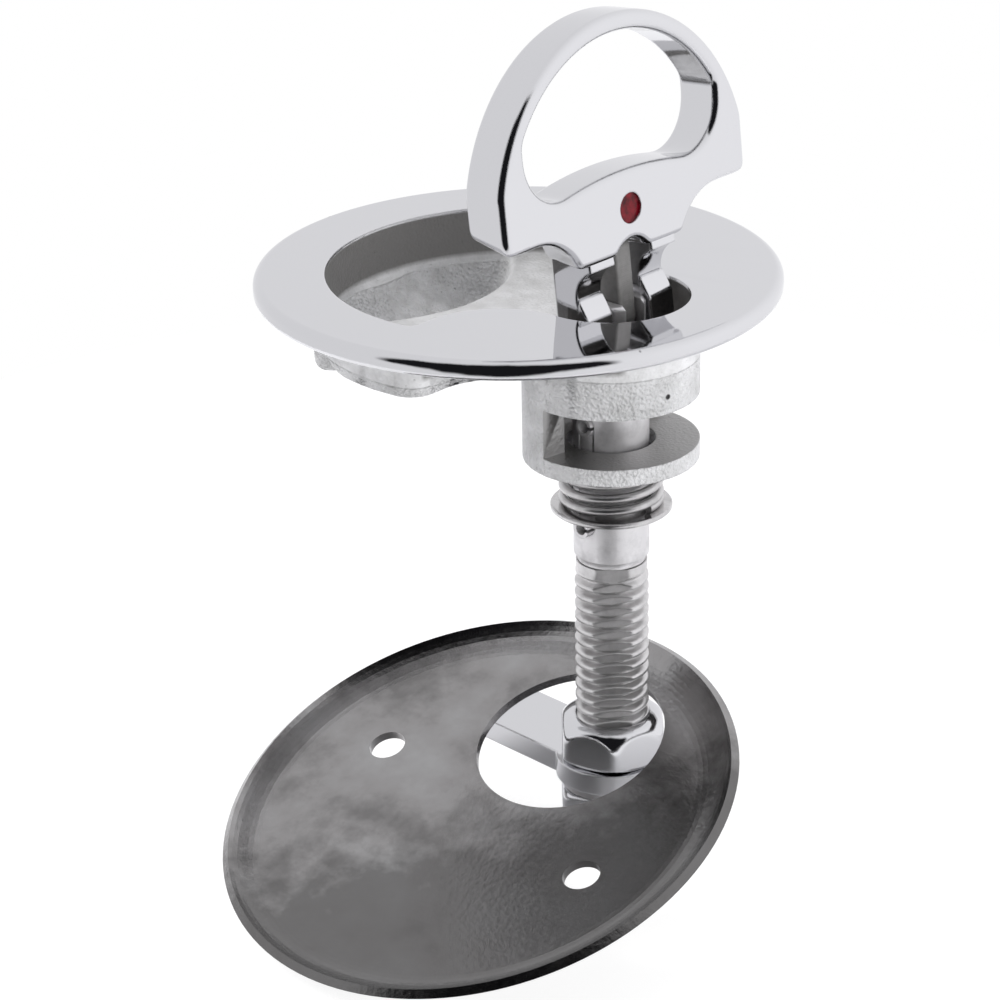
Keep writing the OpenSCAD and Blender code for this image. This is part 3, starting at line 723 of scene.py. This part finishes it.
def add_bowl(bm):
    """Recess floor and finger bowl: rings of points from the wall inwards, with a fillet
    at the wall's foot that widens where the bowl is deep."""
    around, rings, wall_rows = 360, 90, 6
    grid = []
    for j in range(-wall_rows, rings):
        row = []
        for i in range(around):
            a = 2 * math.pi * i / around
            inset = 0.01 + (RECESS_R - 0.3) * (max(j, 0) / (rings - 1)) ** 2
            x = FLANGE_CENTRE_X + (RECESS_R - inset) * math.cos(a)
            y = (RECESS_R - inset) * math.sin(a)
            z = bowl_height(math.hypot(x - CREST_CENTRE_X, y))
            depth = min(1, (SHELF_Z - z) / 1.0)
            fillet = 0.3 + 1.9 * depth
            if inset < fillet:
                z += fillet - math.sqrt(fillet ** 2 - (fillet - inset) ** 2)
            if j < 0:
                z = max(z, z + (SHELF_Z + 0.1 - z) * -j / wall_rows)
            row.append(bm.verts.new((x * MM, y * MM, (z + 0.03) * MM)))
        grid.append(row)
    for outer, inner in zip(grid, grid[1:]):
        for i in range(around):
            m = (i + 1) % around
            if max(outer[i].co.x, outer[m].co.x, inner[i].co.x) < SHOULDER_X * MM:
                bm.faces.new((outer[i], outer[m], inner[m], inner[i]))
    bmesh.ops.delete(bm, geom=[v for v in bm.verts if not v.link_faces], context="VERTS")


def underside_height(x, y):
    """Height of the casting's underside, eased at its lower corner far from the hub."""
    inset = max(CASTING_R - math.hypot(x - FLANGE_CENTRE_X, y), 0)
    floor = cad_bowl_height(math.hypot(x - CREST_CENTRE_X, y))
    low = floor - CASTING_WALL
    slanted = min(CORNER_Z - CORNER_SLOPE * inset, floor - THINNEST_WALL)
    if inset < CORNER_FILLET:
        slanted += CORNER_FILLET - math.sqrt(CORNER_FILLET ** 2 - (CORNER_FILLET - inset) ** 2)
    share = min(max((UNDERSIDE_X - x) / 10, 0), 1)
    return low + share * share * (3 - 2 * share) * max(0, slanted - low)


def add_underside(bm):
    """The casting's outside below the flange: rings of points down its wall and inwards."""
    around, wall_rows, rings = 360, 3, 60
    grid = []
    for j in range(-wall_rows, rings):
        row = []
        for i in range(around):
            a = 2 * math.pi * i / around
            r = CASTING_R - 0.02 - (CASTING_R - 4) * (max(j, 0) / (rings - 1)) ** 1.5
            x = FLANGE_CENTRE_X + r * math.cos(a)
            y = r * math.sin(a)
            z = underside_height(x, y) + 0.02
            z += (0.3 - z) * max(-j, 0) / wall_rows
            row.append(bm.verts.new((x * MM, y * MM, z * MM)))
        grid.append(row)
    for outer, inner in zip(grid, grid[1:]):
        for i in range(around):
            m = (i + 1) % around
            if min(outer[i].co.x, outer[m].co.x, inner[i].co.x) < UNDERSIDE_X * MM:
                bm.faces.new((outer[m], outer[i], inner[i], inner[m]))
    bmesh.ops.delete(bm, geom=[v for v in bm.verts if not v.link_faces], context="VERTS")


def build_escutcheon():
    bm = bmesh.new()
    bm.from_mesh(nodes["escutcheon"].data)
    bmesh.ops.remove_doubles(bm, verts=bm.verts, dist=1e-6)
    bmesh.ops.bisect_plane(bm, geom=bm.verts[:] + bm.edges[:] + bm.faces[:],
                           plane_co=(UNDERSIDE_X * MM, 0, 0), plane_no=(1, 0, 0))
    # The solid's own bowl comes out, and the smoother one takes its place
    old = []
    for face in bm.faces:
        x, y, z = face.calc_center_median() / MM
        from_centre = math.hypot(x - FLANGE_CENTRE_X, y)
        floor = cad_bowl_height(math.hypot(x - CREST_CENTRE_X, y))
        if z < SHELF_Z - 0.02 and from_centre < RECESS_R + 0.4 and z > floor - 0.6:
            if x < SHOULDER_X:
                old.append(face)
        elif x < UNDERSIDE_X and z < -0.05:
            if from_centre > CASTING_R - 1 or z < SHELF_Z - CASTING_WALL + 0.05:
                old.append(face)
    bmesh.ops.delete(bm, geom=old, context="FACES")
    flat = [f for f in bm.faces if abs(f.normal.z) > 0.9999 and f.calc_center_median().z > -MM]
    rim = [e for f in flat for e in f.edges]
    bmesh.ops.dissolve_limit(bm, angle_limit=0.003, verts=list({v for e in rim for v in e.verts}),
                             edges=list(set(rim)))
    add_bowl(bm)
    add_underside(bm)
    mesh = bpy.data.meshes.new("escutcheon_casting")
    bm.to_mesh(mesh)
    bm.free()
    mesh.materials.clear()
    obj = dress(smooth(new_object("escutcheon_casting", mesh), 32), ESCUTCHEON)
    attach(obj, "housing")
    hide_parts("escutcheon")


def cad_bowl_height(from_crest):
    """The solid's bowl, whose rise to the crest is wider."""
    if from_crest > CREST_R:
        return SHELF_Z
    if from_crest > SOLID_LOW_AT:
        t = (CREST_R - from_crest) / (CREST_R - SOLID_LOW_AT)
        return SHELF_Z + (BOWL_Z - SHELF_Z) * (1 - math.cos(math.pi * t)) / 2
    t = max(from_crest - BOWL_FOOT_AT, 0) / (SOLID_LOW_AT - BOWL_FOOT_AT)
    return SOLID_FOOT_Z + (BOWL_Z - SOLID_FOOT_Z) * math.sin(math.pi / 2 * t)


# ---------------------------------------------------------------- nuts
def soft_min(a, b, k):
    h = min(max(0.5 + 0.5 * (b - a) / k, 0), 1)
    return b * (1 - h) + a * h - k * h * (1 - h)


def build_nut(name, replaces, low, high, dome):
    """Hexagon nut with a domed top: rows of points up its side and over the dome."""
    around, rows = 180, 30
    bore = STUD_R + 0.05
    bm = bmesh.new()
    profile = [(bore, low)]
    for j in range(rows + 1):
        z = low + (high - low) * j / rows
        over = max(0, (z - (high - dome)) / dome)
        r = NUT_TOP_R + (NUT_CORNER_R - NUT_TOP_R) * math.sqrt(max(0, 1 - over ** 2))
        under = max(0, (low + 1.0 - z) / 1.0)
        profile.append((r - 1.4 * under ** 2, z))
    profile.append((bore, high))
    grid = []
    for k, (r, z) in enumerate(profile):
        row = []
        for i in range(around):
            a = 2 * math.pi * i / around
            turn = (a - FLAT_ANGLE) % (math.pi / 3) - math.pi / 6
            flat = NUT_AF / 2 / math.cos(turn)
            reach = r if k in (0, len(profile) - 1) else soft_min(r, flat, 0.35)
            row.append(bm.verts.new((reach * math.cos(a) * MM, reach * math.sin(a) * MM, z * MM)))
        grid.append(row)
    for j, row in enumerate(grid):
        nxt = grid[(j + 1) % len(grid)]
        for i in range(around):
            m = (i + 1) % around
            bm.faces.new((row[i], row[m], nxt[m], nxt[i]))
    bmesh.ops.recalc_face_normals(bm, faces=bm.faces)
    mesh = bpy.data.meshes.new(name)
    bm.to_mesh(mesh)
    bm.free()
    obj = dress(smooth(new_object(name, mesh), 50), POLISHED)
    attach(obj, "shaft")
    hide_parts(replaces)


# ---------------------------------------------------------------- finishes of the CAD pieces
def dress_nodes():
    finishes = {
        POLISHED: ["cam_arm"],
        SATIN: ["pivot_pin", "cross_pin", "washer_pin"],
        WASHER_STEEL: ["spring_washer", "lock_washer"],
        SHEET: ["backing_plate"],
        ENAMEL: ["indicator_dot"],
    }
    for finish, names in finishes.items():
        for name in names:
            dress(nodes[name], finish)


# ---------------------------------------------------------------- light, floor and camera
OPENING_AZIMUTH = math.radians(-57)
OPENING_HALF_WIDTH = 0.92
BRIGHT_AZIMUTH = math.radians(45)


def build_world():
    """A white tent with a dark opening on the camera's side, which polished edges mirror."""
    world = bpy.data.worlds.new("white_tent")
    bpy.context.scene.world = world
    world.use_nodes = True
    tree = world.node_tree
    background = tree.nodes["Background"]
    place_ = add(tree, "ShaderNodeTexCoord")
    height = add(tree, "ShaderNodeSeparateXYZ")
    tree.links.new(place_.outputs["Generated"], height.inputs[0])

    def along(angle):
        node = add(tree, "ShaderNodeVectorMath", operation="DOT_PRODUCT")
        node.inputs[1].default_value = (math.cos(angle), math.sin(angle), 0)
        tree.links.new(place_.outputs["Generated"], node.inputs[0])
        return node.outputs["Value"]

    ahead = along(OPENING_AZIMUTH)
    aside = along(OPENING_AZIMUTH + math.pi / 2)
    turn = math_node(tree, "ARCTAN2", math_node(tree, "ABSOLUTE", aside), ahead)
    up = math_node(tree, "ARCSINE", height.outputs["Z"])
    low = math_node(tree, "ADD", math_node(tree, "MULTIPLY", turn, 0.45), -0.62)
    high = math_node(tree, "ADD", math_node(tree, "MULTIPLY", turn, -0.35), 1.2)
    over = math_node(tree, "MULTIPLY", math_node(tree, "SUBTRACT", up, low), 14.0, clamp=True)
    under = math_node(tree, "MULTIPLY", math_node(tree, "SUBTRACT", high, up), 10.0, clamp=True)
    within = math_node(tree, "MULTIPLY", math_node(tree, "SUBTRACT", OPENING_HALF_WIDTH, turn),
                       9.0, clamp=True)
    dark = math_node(tree, "MULTIPLY", math_node(tree, "MULTIPLY", over, under), within)
    tree.links.new(mix_colour(tree, dark, (0.92, 0.92, 0.94), (0.012, 0.012, 0.014)),
                   background.inputs["Color"])
    # The tent is brighter on its right, which the handle's front mirrors
    bright = math_node(tree, "MAXIMUM", along(BRIGHT_AZIMUTH), 0.0)
    tree.links.new(math_node(tree, "ADD", 1.0, math_node(tree, "MULTIPLY", bright, 0.24)),
                   background.inputs["Strength"])
    path = add(tree, "ShaderNodeLightPath")
    white = add(tree, "ShaderNodeBackground", Strength=1.0)
    white.inputs["Color"].default_value = (1, 1, 1, 1)
    mixed = tree.nodes.new("ShaderNodeMixShader")
    tree.links.new(path.outputs["Is Camera Ray"], mixed.inputs["Fac"])
    tree.links.new(background.outputs[0], mixed.inputs[1])
    tree.links.new(white.outputs[0], mixed.inputs[2])
    tree.links.new(mixed.outputs[0], tree.nodes["World Output"].inputs["Surface"])


def build_floor():
    """A small pale table, white to the camera but for a faint shadow."""
    low = cad_box[0][2] - 0.002
    bm = bmesh.new()
    bmesh.ops.create_circle(bm, cap_ends=True, segments=96, radius=0.16)
    for v in bm.verts:
        v.co += Vector((-0.06, 0.05, low))
    mesh = bpy.data.meshes.new("table")
    bm.to_mesh(mesh)
    bm.free()
    table = new_object("table", mesh)
    mat = bpy.data.materials.new("white_table")
    mat.use_nodes = True
    tree = mat.node_tree
    shader = tree.nodes["Principled BSDF"]
    shader.inputs["Roughness"].default_value = 0.9
    shader.inputs["Specular IOR Level"].default_value = 0.1
    path = add(tree, "ShaderNodeLightPath")
    seen = path.outputs["Is Camera Ray"]
    tree.links.new(mix_colour(tree, seen, (0.85, 0.85, 0.86), (0.2, 0.2, 0.2)),
                   shader.inputs["Base Color"])
    shader.inputs["Emission Color"].default_value = (1, 1, 1, 1)
    tree.links.new(math_node(tree, "MULTIPLY", seen, 0.88), shader.inputs["Emission Strength"])
    dress(table, mat)


def build_lamps():
    for name, place_, aim, size, power in (
            ("key", (-0.35, -0.45, 0.55), (0, 0, -0.02), 0.5, 5.2),
            ("fill", (0.55, -0.25, 0.05), (0, 0, -0.03), 0.4, 2.5)):
        light = bpy.data.lights.new(name, "AREA")
        light.shape = "DISK"
        light.size = size
        light.energy = power
        lamp = bpy.data.objects.new(name, light)
        lamp.location = place_
        lamp.rotation_euler = (Vector(aim) - Vector(place_)).to_track_quat("-Z", "Y").to_euler()
        # The lamps light the cast skins and the enamel, and polished steel doesn't mirror them
        lamp.visible_glossy = False
        bpy.context.scene.collection.objects.link(lamp)


def build_camera():
    camera = bpy.data.cameras.new("camera")
    camera.sensor_width = 36
    camera.lens = 125.1
    camera.clip_start = 0.01
    obj = bpy.data.objects.new("camera", camera)
    obj.location = (0.30074, -0.34730, 0.17044)
    obj.rotation_euler = [math.radians(a) for a in (66.5854, 0.9727, 42.4678)]
    bpy.context.scene.collection.objects.link(obj)
    bpy.context.scene.camera = obj


build_camera()
build_world()
build_floor()
build_lamps()
dress_nodes()
build_handle()
build_spindle()
build_spring()
build_escutcheon()
build_nut("upper_domed_nut", "upper_nut", -69.3, -62.7, 3.2)
build_nut("lower_domed_nut", "lower_nut", -78.9, -73.9, 1.2)

bpy.context.scene.view_settings.view_transform = "Standard"
